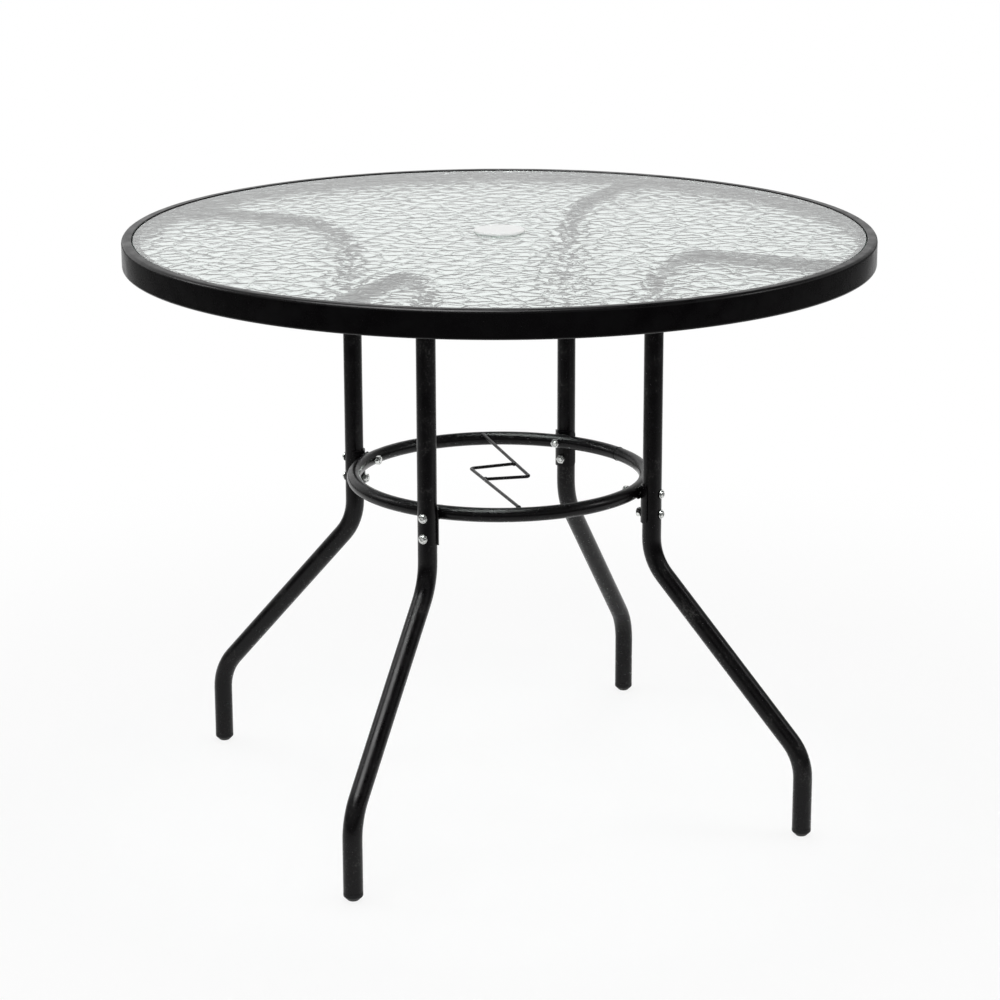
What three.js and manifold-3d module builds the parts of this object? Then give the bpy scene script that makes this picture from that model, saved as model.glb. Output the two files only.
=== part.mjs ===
// A round patio umbrella table. A hollow steel rim holds a glass top with a capped umbrella hole. Four bent
// tube legs stand under it, joined by a brace ring that carries two wires, which guide the umbrella pole.
// Millimetres, +Z up. The origin is on the floor below the umbrella hole. The legs lie on the X and Y axes.

import * as THREE from "three";
import { mergeVertices } from "three/addons/utils/BufferGeometryUtils.js";
import Module from "manifold-3d";

// Whole table
const tableDiameter = 900;
const tableHeight = 708;
const fitGap = 0.3; // between two pieces that touch
const cutOverrun = 5; // a cutter reaches this far past the faces it opens

// Rim, a roll-formed hollow section with an outer lip and a lower ledge for the glass
const rimHeight = 33;
const rimLipWidth = 12;
const rimLedgeWidth = 10;
const rimWall = 1.2;
const rimTopRadius = 4.5;
const rimBottomRadius = 2.5;
const rimEdgeRadius = 1.2;
const rimLipRise = 1; // above the glass
const drainHoleDiameter = 6;

// Glass top and the flat seal that it is bedded on
const glassThickness = 5;
const glassSideGap = 1.2;
const glassBevel = 1;
const sealWidth = 7;
const sealThickness = 1;

// Umbrella hole: a grommet lines the hole in the glass, and a cap plugs the grommet. The cap's edge turns
// down over the grommet's flange to the glass.
const glassHoleDiameter = 52;
const grommetWall = 1.6;
const grommetFlangeWidth = 3;
const grommetFlangeThickness = 0.9;
const grommetDrop = 8; // below the glass
const capDiameter = 62;
const capThickness = 1.5;
const capEdgeRadius = 1.2;
const capEdgeWidth = 1.8;
const capSkirtWall = 1.5;
const capSkirtDepth = 9;
const capSideGap = 0.5;

// Legs, each one tube with three bends
const legDiameter = 23;
const legWall = 1.2;
const legAxisDistance = 201; // from the table's axis to the upright stretch
const footInset = 50; // from the table's edge to the foot's axis
const lowKneeHeight = 98.5;
const highKneeHeight = 324;
const legBendRadius = 70;
const legGlassGap = 0.5;

// Plastic foot caps, pushed into the legs
const footCapHeight = 10;
const footCapChamfer = 5.3;
const footPlugLength = 16;

// Brace ring and the saddles that are welded to it
const braceDiameter = 17;
const braceWall = 1.2;
const braceRise = 81; // above the upper knees
const saddleThickness = 1.8;
const saddleMargin = 10.5; // past the two bolts, up and down
const saddleCornerRadius = 5;
const saddleHalfWrap = THREE.MathUtils.degToRad(85);

// Pole guide: two bent wires that meet and leave a square for the pole
const wireDiameter = 4;
const guideHalfWidth = 29;
const guideRise = 3; // of the corners above the ring's centre plane
const wireEndRise = 7.4; // of the ends on the ring above the same plane
const wireBendRadius = 5;
const guideTurn = THREE.MathUtils.degToRad(42);

// Bolts, washers and nuts
const boltDiameter = 6;
const boltHoleGap = 0.4;
const boltSpacing = 25;
const boltHeadDiameter = 9;
const boltHeadHeight = 2;
const boltTipLength = 0.8;
const socketWidth = 4;
const socketDepth = 1.2;
const boltEndReach = 1; // past the nut
const washerDiameter = 11.6;
const washerThickness = 1;
const nutWidth = 10;
const nutHeight = 5;
const nutTurn = THREE.MathUtils.degToRad(30); // a leg nut lies with two of its flats level

// Brackets that carry the legs' outer ends inside the rim
const bracketThickness = 2;
const bracketWidth = 26;
const bracketReach = 32;
const bracketHeight = 20;
const bracketBoltDistance = 15; // from the leg's end

// Outline of a bolt head as shares of its radius and height, from the widest point to the crown
const headShares = [[1, 0], [1, 0.3], [0.7, 1], [0, 1]];

// Facets
const roundSides = 64;
const grommetSides = 28;
const tubeSides = 12;
const braceSides = 10;
const braceSteps = 40;
const wireSides = 8;
const boltSides = 10;
const washerSides = 12;
const saddleSteps = 8;
const bendStep = THREE.MathUtils.degToRad(15);

// Heights and radii that several pieces share
const rimRadius = tableDiameter / 2;
const lipRadius = rimRadius - rimLipWidth;
const rimInnerRadius = lipRadius - rimLedgeWidth;
const rimBottom = tableHeight - rimHeight;
const glassTop = tableHeight - rimLipRise;
const glassBottom = glassTop - glassThickness;
const sealBottom = glassBottom - fitGap - sealThickness;
const ledgeHeight = sealBottom - fitGap;
const legRadius = legDiameter / 2;
const legBore = legRadius - legWall;
const footAxisDistance = rimRadius - footInset;
const runHeight = glassBottom - legGlassGap - legRadius;
const bracketFace = rimInnerRadius * Math.cos(Math.PI / roundSides) - fitGap;
const runEnd = bracketFace - bracketThickness - fitGap;
const rimBoltDistance = runEnd - bracketBoltDistance;
const bracketTop = runHeight - legRadius - fitGap;
const braceRadius = braceDiameter / 2;
const saddleOuterRadius = legRadius + fitGap + saddleThickness;
const ringRadius = legAxisDistance - saddleOuterRadius - fitGap - braceRadius;
const ringInnerFace = (ringRadius - braceRadius) * Math.cos(Math.PI / braceSteps);
const ringHeight = highKneeHeight + braceRise;
const lowBoltHeight = ringHeight - boltSpacing;
const boltRadius = boltDiameter / 2;
const boltHoleRadius = (boltRadius + boltHoleGap) / Math.cos(Math.PI / boltSides);
const washerSeat = legAxisDistance + legRadius + fitGap;
const headSeat = washerSeat + washerThickness + fitGap;

const steel = new THREE.MeshStandardMaterial({ color: 0x141416, roughness: 0.45, metalness: 0.3 });
const glass = new THREE.MeshStandardMaterial({
  color: 0xdfe5e3, roughness: 0.12, metalness: 0, transparent: true, opacity: 0.5,
});
const whitePlastic = new THREE.MeshStandardMaterial({ color: 0xecedec, roughness: 0.4, metalness: 0 });
const blackPlastic = new THREE.MeshStandardMaterial({ color: 0x18181a, roughness: 0.6, metalness: 0 });
const rubber = new THREE.MeshStandardMaterial({ color: 0x1c1c1c, roughness: 0.9, metalness: 0 });
const zinc = new THREE.MeshStandardMaterial({ color: 0xc9cbc8, roughness: 0.28, metalness: 1 });

const wasm = await Module();
wasm.setup();

// A closed geometry as a solid that can be cut and joined.
function solid(geometry) {
  const bare = geometry.index ? geometry.toNonIndexed() : geometry.clone();
  bare.deleteAttribute("normal");
  bare.deleteAttribute("uv");
  const merged = mergeVertices(bare);
  return new wasm.Manifold(new wasm.Mesh({
    numProp: 3,
    vertProperties: new Float32Array(merged.attributes.position.array),
    triVerts: new Uint32Array(merged.index.array),
  }));
}

// The geometry of a cut or joined solid.
function surface(body) {
  const mesh = body.getMesh();
  const geometry = new THREE.BufferGeometry();
  geometry.setAttribute("position", new THREE.BufferAttribute(mesh.vertProperties, 3));
  geometry.setIndex(new THREE.BufferAttribute(mesh.triVerts, 1));
  const faceted = geometry.toNonIndexed();
  faceted.computeVertexNormals();
  return faceted;
}

// The corners of a regular polygon, the first one on +X.
function polygon(radius, sides) {
  const corners = [];
  for (let i = 0; i < sides; i++) {
    const angle = (2 * Math.PI * i) / sides;
    corners.push(new THREE.Vector2(radius * Math.cos(angle), radius * Math.sin(angle)));
  }
  return corners;
}

// An outline of [radius, height] points turned about Z. A ring's outline ends on its first point.
function turned(outline, sides) {
  const points = outline.map(([radius, height]) => new THREE.Vector2(radius, height));
  return new THREE.LatheGeometry(points, sides).rotateX(Math.PI / 2);
}

// A closed ring outline runs anticlockwise as seen with the radius to the right and the height up.
function ring(outline, sides) {
  return turned([...outline, outline[0]], sides);
}

// A flat outline in X and Y raised from one height to another.
function raised(points, bottom, top) {
  const shape = new THREE.Shape(points);
  const geometry = new THREE.ExtrudeGeometry(shape, { depth: top - bottom, bevelEnabled: false });
  return geometry.translate(0, 0, bottom);
}

function cylinder(radius, bottom, top, sides) {
  return raised(polygon(radius, sides), bottom, top);
}

function box(low, high) {
  const size = high.map((value, i) => value - low[i]);
  const centre = high.map((value, i) => (value + low[i]) / 2);
  return new THREE.BoxGeometry(...size).translate(...centre);
}

// Turns a geometry so that its Z axis lies along X.
function alongX(geometry) {
  return geometry.rotateY(Math.PI / 2);
}

// An outline of [x, y, radius] corners with its corners rounded. Small arcs get fewer steps.
function rounded(corners, arcStep) {
  const points = [];
  corners.forEach(([x, y, radius], i) => {
    const corner = new THREE.Vector2(x, y);
    if (radius <= 0) {
      points.push([x, y]);
      return;
    }
    const before = new THREE.Vector2(...corners[(i + corners.length - 1) % corners.length]);
    const after = new THREE.Vector2(...corners[(i + 1) % corners.length]);
    const back = before.sub(corner).normalize();
    const ahead = after.sub(corner).normalize();
    const half = Math.acos(back.dot(ahead)) / 2;
    const centre = back.clone().add(ahead).normalize().multiplyScalar(radius / Math.sin(half)).add(corner);
    const start = back.multiplyScalar(radius / Math.tan(half)).add(corner).sub(centre);
    const end = ahead.multiplyScalar(radius / Math.tan(half)).add(corner).sub(centre);
    const sweep = Math.atan2(start.cross(end), start.dot(end));
    const steps = Math.max(1, Math.round((Math.abs(sweep) * radius) / arcStep));
    for (let s = 0; s <= steps; s++) {
      const spoke = start.clone().rotateAround(new THREE.Vector2(), (sweep * s) / steps);
      points.push([centre.x + spoke.x, centre.y + spoke.y]);
    }
  });
  return points;
}

// A bent centre line: straight between its corners, with an arc of one radius at each inner corner. It has
// stations only where the line starts, bends and ends, so that straight stretches stay one step long.
class BentLine extends THREE.Curve {
  constructor(corners, bendRadius) {
    super();
    this.stations = [];
    const points = corners.map((corner) => new THREE.Vector3(...corner));
    const along = points.slice(1).map((point, i) => point.clone().sub(points[i]).normalize());
    this.stations.push([points[0], along[0]]);
    for (let i = 1; i < along.length; i++) {
      const into = along[i - 1];
      const bend = into.angleTo(along[i]);
      const side = along[i].clone().addScaledVector(into, -Math.cos(bend)).normalize();
      const start = points[i].clone().addScaledVector(into, -bendRadius * Math.tan(bend / 2));
      const steps = Math.ceil(bend / bendStep);
      for (let s = 0; s <= steps; s++) {
        const angle = (bend * s) / steps;
        const point = start.clone()
          .addScaledVector(into, bendRadius * Math.sin(angle))
          .addScaledVector(side, bendRadius * (1 - Math.cos(angle)));
        const tangent = into.clone().multiplyScalar(Math.cos(angle)).addScaledVector(side, Math.sin(angle));
        this.stations.push([point, tangent]);
      }
    }
    this.stations.push([points[points.length - 1], along[along.length - 1]]);
    this.steps = this.stations.length - 1;
  }
  getPoint(t) {
    return this.stations[Math.round(t * this.steps)][0].clone();
  }
  getPointAt(t) {
    return this.getPoint(t);
  }
  getTangentAt(t) {
    return this.stations[Math.round(t * this.steps)][1].clone();
  }
}

function bar(corners, bendRadius, radius, sides) {
  const line = new BentLine(corners, bendRadius);
  const section = new THREE.Shape(polygon(radius, sides));
  return new THREE.ExtrudeGeometry(section, { steps: line.steps, extrudePath: line, bevelEnabled: false });
}

const table = new THREE.Group();

function add(group, name, geometry, material) {
  const mesh = new THREE.Mesh(geometry, material);
  mesh.name = name;
  group.add(mesh);
}

// The rim's section, moved inwards by an inset: once for the outside, and once for the hollow.
function rimOutline(inset) {
  const edge = Math.max(rimEdgeRadius - inset, 0);
  const corners = [
    [rimInnerRadius + inset, rimBottom + inset, edge],
    [rimRadius - inset, rimBottom + inset, Math.max(rimBottomRadius - inset, 0)],
    [rimRadius - inset, tableHeight - inset, Math.max(rimTopRadius - inset, 0)],
    [lipRadius + inset, tableHeight - inset, edge],
    [lipRadius + inset, ledgeHeight - inset, 0],
    [rimInnerRadius + inset, ledgeHeight - inset, edge],
  ];
  return rounded(corners, rimTopRadius / 2);
}

function rim() {
  let body = solid(ring(rimOutline(0), roundSides)).subtract(solid(ring(rimOutline(rimWall), roundSides)));
  const drainDistance = (rimRadius + rimInnerRadius) / 2;
  const drainTop = rimBottom + rimWall + cutOverrun;
  for (const turn of [1, 3, 5, 7]) {
    const angle = (turn * Math.PI) / 4;
    const drain = cylinder(drainHoleDiameter / 2, rimBottom - cutOverrun, drainTop, boltSides)
      .translate(drainDistance * Math.cos(angle), drainDistance * Math.sin(angle), 0);
    body = body.subtract(solid(drain));
  }
  return surface(body);
}

function glassDisc() {
  const edge = lipRadius - glassSideGap;
  const hole = glassHoleDiameter / 2;
  return ring([
    [hole, glassBottom],
    [edge - glassBevel, glassBottom],
    [edge, glassBottom + glassBevel],
    [edge, glassTop - glassBevel],
    [edge - glassBevel, glassTop],
    [hole, glassTop],
  ], roundSides);
}

function glassSeal() {
  const outer = lipRadius - glassSideGap;
  const top = sealBottom + sealThickness;
  const inner = outer - sealWidth;
  return ring([[inner, sealBottom], [outer, sealBottom], [outer, top], [inner, top]], roundSides);
}

const grommetRadius = glassHoleDiameter / 2 - fitGap;
const grommetBore = grommetRadius - grommetWall;
const grommetTop = glassTop + fitGap + grommetFlangeThickness;

function grommet() {
  const flangeRadius = grommetRadius + grommetFlangeWidth;
  const bottom = glassBottom - grommetDrop;
  return ring([
    [grommetBore, bottom],
    [grommetRadius, bottom],
    [grommetRadius, glassTop + fitGap],
    [flangeRadius, glassTop + fitGap],
    [flangeRadius, grommetTop],
    [grommetBore, grommetTop],
  ], grommetSides);
}

function cap() {
  const skirtRadius = grommetBore - capSideGap;
  const skirtBore = skirtRadius - capSkirtWall;
  const radius = capDiameter / 2;
  const bottom = grommetTop + fitGap;
  const top = bottom + capThickness;
  const skirtBottom = bottom - capSkirtDepth;
  return turned([
    [0, bottom],
    [skirtBore, bottom],
    [skirtBore, skirtBottom],
    [skirtRadius, skirtBottom],
    [skirtRadius, bottom],
    [radius - capEdgeWidth, bottom],
    [radius - capEdgeWidth, glassTop + fitGap],
    [radius, glassTop + fitGap],
    [radius, top - capEdgeRadius],
    [radius - capEdgeRadius, top],
    [0, top],
  ], grommetSides);
}

add(table, "rim_frame", rim(), steel);
add(table, "glass_seal", glassSeal(), rubber);
add(table, "glass_top", glassDisc(), glass);
add(table, "umbrella_hole_grommet", grommet(), whitePlastic);
add(table, "umbrella_hole_cap", cap(), whitePlastic);

// Brace ring: a closed hoop of tube, drilled towards each leg for the upper bolts
function braceRing() {
  const outside = solid(new THREE.TorusGeometry(ringRadius, braceRadius, braceSides, braceSteps));
  const hollow = solid(new THREE.TorusGeometry(ringRadius, braceRadius - braceWall, braceSides, braceSteps));
  let body = outside.subtract(hollow);
  const inner = ringRadius - braceRadius - cutOverrun;
  const outer = ringRadius + braceRadius + cutOverrun;
  for (const turn of [0, 1, 2, 3]) {
    const drill = alongX(cylinder(boltHoleRadius, inner, outer, boltSides)).rotateZ((turn * Math.PI) / 2);
    body = body.subtract(solid(drill));
  }
  return surface(body).translate(0, 0, ringHeight);
}

add(table, "brace_ring", braceRing(), steel);

// Pole guide wires. Each runs in from the ring, turns a square corner, and its short end meets the side of
// the other wire, where the two are welded. Both are drawn with the long stretch along Y, then turned.
function guideWire() {
  const wireRadius = wireDiameter / 2;
  const seatReach = Math.sqrt((braceRadius + fitGap) ** 2 - (wireEndRise - wireRadius) ** 2);
  const endDistance = ringRadius - seatReach - fitGap;
  const endY = Math.sqrt(endDistance ** 2 - (guideHalfWidth + wireRadius) ** 2);
  const meetingShare = (endY - guideHalfWidth) / (endY + guideHalfWidth);
  const meetingRise = THREE.MathUtils.lerp(wireEndRise, guideRise, meetingShare);
  return bar([
    [guideHalfWidth, endY, ringHeight + wireEndRise],
    [guideHalfWidth, -guideHalfWidth, ringHeight + guideRise],
    [wireRadius + fitGap - guideHalfWidth, -guideHalfWidth, ringHeight + meetingRise],
  ], wireBendRadius, wireRadius, wireSides);
}

add(table, "pole_guide_wire_back", guideWire().rotateZ(guideTurn), steel);
add(table, "pole_guide_wire_front", guideWire().rotateZ(guideTurn + Math.PI), steel);

// The pieces of one leg, drawn with the leg in the plane of X and Z and its foot towards +X
function leg() {
  const line = [
    [runEnd, 0, runHeight],
    [legAxisDistance, 0, runHeight],
    [legAxisDistance, 0, highKneeHeight],
    [footAxisDistance, 0, lowKneeHeight],
    [footAxisDistance, 0, footCapHeight + fitGap],
  ];
  const open = [
    [runEnd + cutOverrun, 0, runHeight],
    ...line.slice(1, -1),
    [footAxisDistance, 0, footCapHeight - cutOverrun],
  ];
  const outside = solid(bar(line, legBendRadius, legRadius, tubeSides));
  const bore = solid(bar(open, legBendRadius, legBore, tubeSides));
  const inner = legAxisDistance - legRadius - cutOverrun;
  const outer = legAxisDistance + legRadius + cutOverrun;
  let body = outside.subtract(bore);
  for (const height of [ringHeight, lowBoltHeight]) {
    const drill = alongX(cylinder(boltHoleRadius, inner, outer, boltSides)).translate(0, 0, height);
    body = body.subtract(solid(drill));
  }
  const drill = cylinder(boltHoleRadius, runHeight - legRadius - cutOverrun, runHeight, boltSides)
    .translate(rimBoltDistance, 0, 0);
  return surface(body.subtract(solid(drill)));
}

function footCap() {
  const plugRadius = legBore - fitGap;
  const plugTop = footCapHeight + footPlugLength;
  const plugLead = legWall;
  return turned([
    [0, 0],
    [legRadius - footCapChamfer, 0],
    [legRadius, footCapChamfer],
    [legRadius, footCapHeight],
    [plugRadius, footCapHeight],
    [plugRadius, plugTop - plugLead],
    [plugRadius - plugLead, plugTop],
    [0, plugTop],
  ], tubeSides).translate(footAxisDistance, 0, 0);
}

// A saddle is a curved plate on the inner side of the leg, between the leg and the brace ring.
function saddle() {
  const inner = legRadius + fitGap;
  const points = [];
  for (const [radius, way] of [[saddleOuterRadius, 1], [inner, -1]]) {
    for (let s = 0; s <= saddleSteps; s++) {
      const angle = Math.PI + way * saddleHalfWrap * ((2 * s) / saddleSteps - 1);
      points.push(new THREE.Vector2(radius * Math.cos(angle), radius * Math.sin(angle)));
    }
  }
  const bottom = lowBoltHeight - saddleMargin;
  const top = ringHeight + saddleMargin;
  const halfWidth = saddleOuterRadius * Math.sin(saddleHalfWrap);
  const plate = rounded([
    [bottom, -halfWidth, saddleCornerRadius],
    [top, -halfWidth, saddleCornerRadius],
    [top, halfWidth, saddleCornerRadius],
    [bottom, halfWidth, saddleCornerRadius],
  ], saddleCornerRadius / 2).map(([height, across]) => new THREE.Vector2(-height, across));
  const blank = raised(plate.reverse(), -saddleOuterRadius - cutOverrun, 0);
  let body = solid(raised(points, bottom, top)).intersect(solid(alongX(blank)));
  for (const height of [ringHeight, lowBoltHeight]) {
    const drill = alongX(cylinder(boltHoleRadius, -saddleOuterRadius - cutOverrun, 0, boltSides))
      .translate(0, 0, height);
    body = body.subtract(solid(drill));
  }
  return surface(body).translate(legAxisDistance, 0, 0);
}

// A button-head bolt along Z: the head's seat is at zero and the shank hangs below it.
function bolt(length) {
  const headRadius = boltHeadDiameter / 2;
  const head = headShares.map(([wide, high]) => [headRadius * wide, boltHeadHeight * high]);
  const blank = turned([
    [0, -length],
    [boltRadius - boltTipLength, -length],
    [boltRadius, boltTipLength - length],
    [boltRadius, 0],
    ...head,
  ], boltSides);
  const socketCorner = socketWidth / 2 / Math.cos(Math.PI / 6);
  const socket = cylinder(socketCorner, boltHeadHeight - socketDepth, boltHeadHeight + cutOverrun, 6);
  return surface(solid(blank).subtract(solid(socket)));
}

function washer() {
  const hole = boltHoleRadius;
  const edge = washerDiameter / 2;
  const outline = [[hole, 0], [edge, 0], [edge, washerThickness], [hole, washerThickness]];
  return ring(outline, washerSides);
}

// A hexagon nut along Z
function nut() {
  const hexagon = polygon(nutWidth / 2 / Math.cos(Math.PI / 6), 6);
  const blank = solid(raised(hexagon, 0, nutHeight));
  const bore = cylinder(boltHoleRadius, -cutOverrun, nutHeight + cutOverrun, boltSides);
  return surface(blank.subtract(solid(bore)));
}

// An angle bracket, welded to the rim's inner wall, with the leg's end lying on its lower flange
function bracket() {
  const half = bracketWidth / 2;
  const bottom = bracketTop - bracketThickness;
  const top = bottom + bracketHeight;
  const wall = box([bracketFace - bracketThickness, -half, bottom], [bracketFace, half, top]);
  const shelf = box([bracketFace - bracketReach, -half, bottom], [bracketFace, half, bracketTop]);
  const drill = cylinder(boltHoleRadius, bottom - cutOverrun, bracketTop + cutOverrun, boltSides)
    .translate(rimBoltDistance, 0, 0);
  return surface(solid(wall).add(solid(shelf)).subtract(solid(drill)));
}

const nutSeat = {
  upper: ringInnerFace - fitGap,
  lower: legAxisDistance - saddleOuterRadius - fitGap,
};
const boltHeights = { upper: ringHeight, lower: lowBoltHeight };
const insideNutHeight = runHeight - Math.sqrt(legBore ** 2 - (nutWidth / 2 + fitGap) ** 2);
const rimHeadSeat = bracketTop - bracketThickness - fitGap;
const rimBoltLength = insideNutHeight + nutHeight + boltTipLength - rimHeadSeat;

const places = { front: -Math.PI / 2, right: 0, back: Math.PI / 2, left: Math.PI };

for (const [place, turn] of Object.entries(places)) {
  const quarter = new THREE.Group();
  quarter.rotation.z = turn;
  table.add(quarter);
  add(quarter, `leg_${place}`, leg(), steel);
  add(quarter, `foot_cap_${place}`, footCap(), blackPlastic);
  add(quarter, `brace_saddle_${place}`, saddle(), steel);
  for (const level of ["upper", "lower"]) {
    const height = boltHeights[level];
    const length = headSeat - nutSeat[level] + nutHeight + boltEndReach;
    const boltBody = alongX(bolt(length)).translate(headSeat, 0, height);
    const washerBody = alongX(washer()).translate(washerSeat, 0, height);
    const nutBody = alongX(nut().rotateZ(nutTurn)).rotateZ(Math.PI).translate(nutSeat[level], 0, height);
    add(quarter, `leg_bolt_${level}_${place}`, boltBody, zinc);
    add(quarter, `leg_washer_${level}_${place}`, washerBody, zinc);
    add(quarter, `leg_nut_${level}_${place}`, nutBody, zinc);
  }
  add(quarter, `rim_bracket_${place}`, bracket(), steel);
  const rimBolt = bolt(rimBoltLength).rotateX(Math.PI).translate(rimBoltDistance, 0, rimHeadSeat);
  add(quarter, `rim_bolt_${place}`, rimBolt, zinc);
  const insideNut = nut().translate(rimBoltDistance, 0, insideNutHeight);
  add(quarter, `rim_nut_${place}`, insideNut, zinc);
}

export default table;
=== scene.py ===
# The looks of a round patio umbrella table, in metres and +Z up, dressed over the table's solids. One section makes
# each piece or group of like pieces, in the order in which the table goes together. The origin is on the floor
# below the umbrella hole, and the legs lie on the X and Y axes.

import math

import bmesh
import bpy
from mathutils import Matrix, Vector


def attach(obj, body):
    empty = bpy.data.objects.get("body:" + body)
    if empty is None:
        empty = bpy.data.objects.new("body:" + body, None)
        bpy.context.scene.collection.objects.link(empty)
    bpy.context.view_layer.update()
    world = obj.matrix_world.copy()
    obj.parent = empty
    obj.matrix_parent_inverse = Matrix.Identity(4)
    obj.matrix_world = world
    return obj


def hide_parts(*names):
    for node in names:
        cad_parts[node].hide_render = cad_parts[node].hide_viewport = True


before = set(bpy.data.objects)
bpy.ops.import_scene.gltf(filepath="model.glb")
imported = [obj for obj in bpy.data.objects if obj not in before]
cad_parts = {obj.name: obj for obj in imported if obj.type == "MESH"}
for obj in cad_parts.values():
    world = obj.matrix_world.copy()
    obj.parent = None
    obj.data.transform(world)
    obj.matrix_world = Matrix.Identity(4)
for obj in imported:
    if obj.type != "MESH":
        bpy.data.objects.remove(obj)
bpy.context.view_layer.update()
scene = bpy.context.scene
scene.view_settings.view_transform = "Standard"

# The studio: a wide pale floor in a white room, with a lamp above, one at each side and one in front. Surfaces that
# shine mirror a room that is darker behind the camera and has a bright panel overhead, so that black tubes keep dark
# faces and pale edges. The camera looks down on the glass at about 16 degrees, as the photograph does.

azimuth = math.radians(25)
ahead = Vector((-math.sin(azimuth), math.cos(azimuth), 0))
rightward = Vector((math.cos(azimuth), math.sin(azimuth), 0))

plain_white, room_light = (1, 1, 1, 1), 0.55
wall_turn, wall_edge, wall_levels = 0.3, (0.5, 1.0), (0.06, 1.0)
band_foot_edge, band_head_edge, band_level = (0.1, 0.22), (0.4, 0.6), 0.5
panel_aim, panel_edge, panel_level = Vector((-0.15, -0.31, 0.94)).normalized(), (0.89, 0.97), 13.0

floor_reach, floor_tone = 40, 232
floor_front_edge, floor_side_edge, floor_dark_level = (-1.7, -0.5), (1.5, 2.4), 0.1
floor_glow_edge, floor_glow_levels = (0.5, 1.6), (0.84, 1.0)

camera_lens, camera_sensor, camera_reach = 109.17, 36, 100
camera_distance, camera_height = 3.582, 1.384
camera_down, camera_roll = math.radians(15.763), -0.0024


class Wire:
    """One output of a node. Arithmetic on wires and numbers adds Math nodes to the same tree."""

    def __init__(self, socket):
        self.socket = socket

    def sum(self, operation, *values):
        nodes = Nodes(self.socket.id_data)
        return nodes.add("Math", {"operation": operation}, dict(enumerate(values)))

    def __add__(self, other):
        return self.sum("ADD", self, other)

    __radd__ = __add__

    def __sub__(self, other):
        return self.sum("SUBTRACT", self, other)

    def __rsub__(self, other):
        return self.sum("SUBTRACT", other, self)

    def __mul__(self, other):
        return self.sum("MULTIPLY", self, other)

    __rmul__ = __mul__

    def __gt__(self, other):
        return self.sum("GREATER_THAN", self, other)

    def __lt__(self, other):
        return self.sum("LESS_THAN", self, other)

    def output(self, name):
        """Another output of the same node."""
        return Wire(self.socket.node.outputs[name])


class Nodes:
    """The node tree of a material or of the world. Its add() adds any node, and the rest name those that repeat."""

    def __init__(self, tree):
        self.tree = tree

    def add(self, kind, settings=None, inputs=None, output=0):
        node = self.tree.nodes.new("ShaderNode" + kind)
        for name, value in (settings or {}).items():
            setattr(node, name, value)
        for name, value in (inputs or {}).items():
            if isinstance(value, Wire):
                self.tree.links.new(value.socket, node.inputs[name])
            else:
                node.inputs[name].default_value = value
        return Wire(node.outputs[output]) if node.outputs else None

    def mix(self, share, first, second):
        """A colour between two colours."""
        return self.add("Mix", {"data_type": "RGBA"}, {0: share, 6: first, 7: second}, 2)

    def dot(self, first, second):
        """How far one vector reaches along another."""
        return self.add("VectorMath", {"operation": "DOT_PRODUCT"}, {0: first, 1: second}, "Value")

    def fade(self, value, edge, levels, smooth=False):
        """A number that goes from one level to the other while a value crosses an edge, from its start to its end."""
        settings = {"interpolation_type": "SMOOTHSTEP" if smooth else "LINEAR"}
        inputs = {"Value": value, 1: edge[0], 2: edge[1], 3: levels[0], 4: levels[1]}
        return self.add("MapRange", settings, inputs)

    def noise(self, place, scale, detail, roughness=0.5, dimensions="3D", output=0):
        """Soft noise, about as many blotches to the metre as its scale says."""
        inputs = {"Vector": place, "Scale": scale, "Detail": detail, "Roughness": roughness}
        return self.add("TexNoise", {"noise_dimensions": dimensions}, inputs, output)

    def bump(self, height, depth, strength):
        """The normal of a surface with a relief, whose height from 0 to 1 is so many metres deep."""
        return self.add("Bump", {}, {"Strength": strength, "Distance": depth, "Height": height})

    def surface(self, inputs):
        """Ends a material's tree with its surface."""
        self.add("OutputMaterial", {}, {"Surface": self.add("BsdfPrincipled", {}, inputs)})


def colour(red, green, blue):
    """A colour as it is read off a screen (sRGB, from 0 to 255), as the linear colour that a node takes."""
    plain = [
        c / 255 / 12.92 if c <= 10 else ((c / 255 + 0.055) / 1.055) ** 2.4
        for c in (red, green, blue)
    ]
    return (*plain, 1)


def new_material(name):
    """A material with an empty tree, and the tree."""
    material = bpy.data.materials.new(name)
    material.use_nodes = True
    material.node_tree.nodes.clear()
    return material, Nodes(material.node_tree)


def ray_kinds(nodes):
    """Whether a ray sees the white room at all, and whether a surface has mirrored it on its way."""
    camera_ray = nodes.add("LightPath", output="Is Camera Ray")
    through = camera_ray.output("Is Transmission Ray")
    shiny = camera_ray.output("Is Glossy Ray")
    white = camera_ray.sum("MAXIMUM", camera_ray, shiny)
    return white.sum("MAXIMUM", white, through), camera_ray.output("Glossy Depth") > 0.5


world = bpy.data.worlds.new("white_room")
world.use_nodes = True
world.node_tree.nodes.clear()
scene.world = world
nodes = Nodes(world.node_tree)
white_ray, mirrored = ray_kinds(nodes)
aim = nodes.add("TexCoord", output="Generated")
facing = nodes.dot(aim, ahead - rightward * wall_turn)
wall = nodes.fade(facing, wall_edge, wall_levels, smooth=True)
rise = nodes.add("SeparateXYZ", {}, {0: aim}, "Z")
above_foot = nodes.fade(rise, band_foot_edge, (0, band_level), smooth=True)
below_head = nodes.fade(rise, band_head_edge, (1, 0), smooth=True)
wall = wall.sum("MAXIMUM", wall, above_foot * below_head)
panel = nodes.fade(nodes.dot(aim, panel_aim), panel_edge, (0, panel_level), smooth=True)
room = nodes.add("Background", {}, {"Color": plain_white, "Strength": room_light})
backdrop = nodes.add("Background", {}, {"Color": plain_white, "Strength": mirrored * (wall + panel - 1) + 1})
seen = nodes.add("MixShader", {}, {0: white_ray, 1: room, 2: backdrop})
nodes.add("OutputWorld", {}, {"Surface": seen})

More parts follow.
